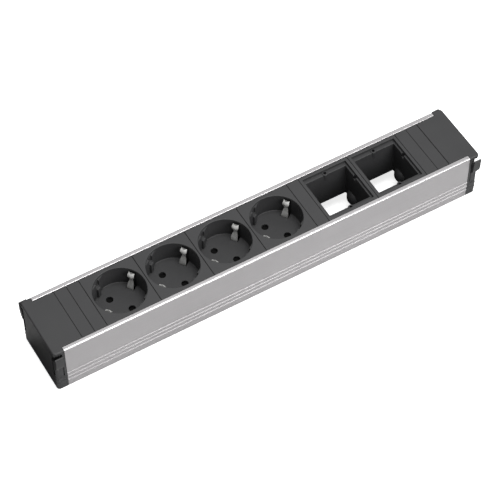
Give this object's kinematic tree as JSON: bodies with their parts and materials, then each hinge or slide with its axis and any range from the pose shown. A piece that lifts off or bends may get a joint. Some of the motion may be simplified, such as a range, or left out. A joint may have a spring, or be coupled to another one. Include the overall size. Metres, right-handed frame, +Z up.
{
  "type": "desk power strip",
  "caption": "Long low desk power strip: extruded aluminium side rails, black top with round earthed sockets, open square module frames and end caps with spring tongues.",
  "frame": {"origin": "middle of the footprint, on the surface the strip stands on", "axes": "+X along the strip from the socket end to the end with the open module frames, +Z up out of the sockets, -Y towards the front rail"},
  "size_m": [0.3718, 0.0608, 0.046],
  "materials": {
    "black_plastic": "moulded polycarbonate, fine matt texture",
    "aluminium": "extruded, satin anodised",
    "contact_steel": "nickel-plated spring strip",
    "brass": "stamped strip, bright",
    "zinc_steel": "zinc plated",
    "wire_brown": "PVC insulation",
    "wire_blue": "PVC insulation",
    "wire_green": "PVC insulation, green and yellow"
  },
  "bodies": {
    "housing": {"front_rail": "aluminium", "back_rail": "aluminium", "left_end_cap": "black_plastic", "right_end_cap": "black_plastic", "filler_1": "black_plastic", "filler_2": "black_plastic", "filler_3": "black_plastic", "filler_4": "black_plastic", "filler_5": "black_plastic", "socket_insert_1": "black_plastic", "socket_insert_2": "black_plastic", "socket_insert_3": "black_plastic", "socket_insert_4": "black_plastic", "shutter_spring_1": "contact_steel", "shutter_spring_2": "contact_steel", "shutter_spring_3": "contact_steel", "shutter_spring_4": "contact_steel", "earth_clip_1": "contact_steel", "earth_clip_2": "contact_steel", "earth_clip_3": "contact_steel", "earth_clip_4": "contact_steel", "earth_bar": "brass", "live_busbar": "brass", "neutral_busbar": "brass", "contact_carrier": "black_plastic", "carrier_screw_1": "zinc_steel", "carrier_screw_2": "zinc_steel", "carrier_screw_3": "zinc_steel", "carrier_screw_4": "zinc_steel", "carrier_screw_5": "zinc_steel", "carrier_screw_6": "zinc_steel", "carrier_screw_7": "zinc_steel", "carrier_screw_8": "zinc_steel", "module_frame_1": "black_plastic", "module_frame_2": "black_plastic", "base_cover": "black_plastic", "inlet_body": "black_plastic", "inlet_pin_live": "contact_steel", "inlet_pin_neutral": "contact_steel", "inlet_pin_earth": "contact_steel", "live_wire": "wire_brown", "neutral_wire": "wire_blue", "earth_wire": "wire_green"},
    "left_front_tongue": {"left_front_tongue": "black_plastic"},
    "left_back_tongue": {"left_back_tongue": "black_plastic"},
    "right_front_tongue": {"right_front_tongue": "black_plastic"},
    "right_back_tongue": {"right_back_tongue": "black_plastic"},
    "shutter_1": {"shutter_1": "black_plastic"},
    "shutter_2": {"shutter_2": "black_plastic"},
    "shutter_3": {"shutter_3": "black_plastic"},
    "shutter_4": {"shutter_4": "black_plastic"}
  },
  "joints": [
    {"name": "left_front_tongue_flex", "type": "hinge", "parent": "housing", "child": "left_front_tongue", "pos_m": [-0.1828, -0.0266, 0.0153], "axis": [-1, 0, 0], "range_deg": [0, 6.5], "stiffness_Nm_per_rad": 0.8, "springref_deg": -0.57},
    {"name": "left_back_tongue_flex", "type": "hinge", "parent": "housing", "child": "left_back_tongue", "pos_m": [-0.1828, 0.0266, 0.0153], "axis": [1, 0, 0], "range_deg": [0, 6.5], "stiffness_Nm_per_rad": 0.8, "springref_deg": -0.57},
    {"name": "right_front_tongue_flex", "type": "hinge", "parent": "housing", "child": "right_front_tongue", "pos_m": [0.1828, -0.0266, 0.0153], "axis": [-1, 0, 0], "range_deg": [0, 6.5], "stiffness_Nm_per_rad": 0.8, "springref_deg": -0.57},
    {"name": "right_back_tongue_flex", "type": "hinge", "parent": "housing", "child": "right_back_tongue", "pos_m": [0.1828, 0.0266, 0.0153], "axis": [1, 0, 0], "range_deg": [0, 6.5], "stiffness_Nm_per_rad": 0.8, "springref_deg": -0.57},
    {"name": "shutter_1_turn", "type": "hinge", "parent": "housing", "child": "shutter_1", "pos_m": [-0.11705, 0, 0.0246], "axis": [0, 0, 1], "range_deg": [0, 38], "stiffness_Nm_per_rad": 0.002, "springref_deg": -11.46},
    {"name": "shutter_2_turn", "type": "hinge", "parent": "housing", "child": "shutter_2", "pos_m": [-0.07205, 0, 0.0246], "axis": [0, 0, 1], "range_deg": [0, 38], "stiffness_Nm_per_rad": 0.002, "springref_deg": -11.46},
    {"name": "shutter_3_turn", "type": "hinge", "parent": "housing", "child": "shutter_3", "pos_m": [-0.02705, 0, 0.0246], "axis": [0, 0, 1], "range_deg": [0, 38], "stiffness_Nm_per_rad": 0.002, "springref_deg": -11.46},
    {"name": "shutter_4_turn", "type": "hinge", "parent": "housing", "child": "shutter_4", "pos_m": [0.01795, 0, 0.0246], "axis": [0, 0, 1], "range_deg": [0, 38], "stiffness_Nm_per_rad": 0.002, "springref_deg": -11.46}
  ]
}
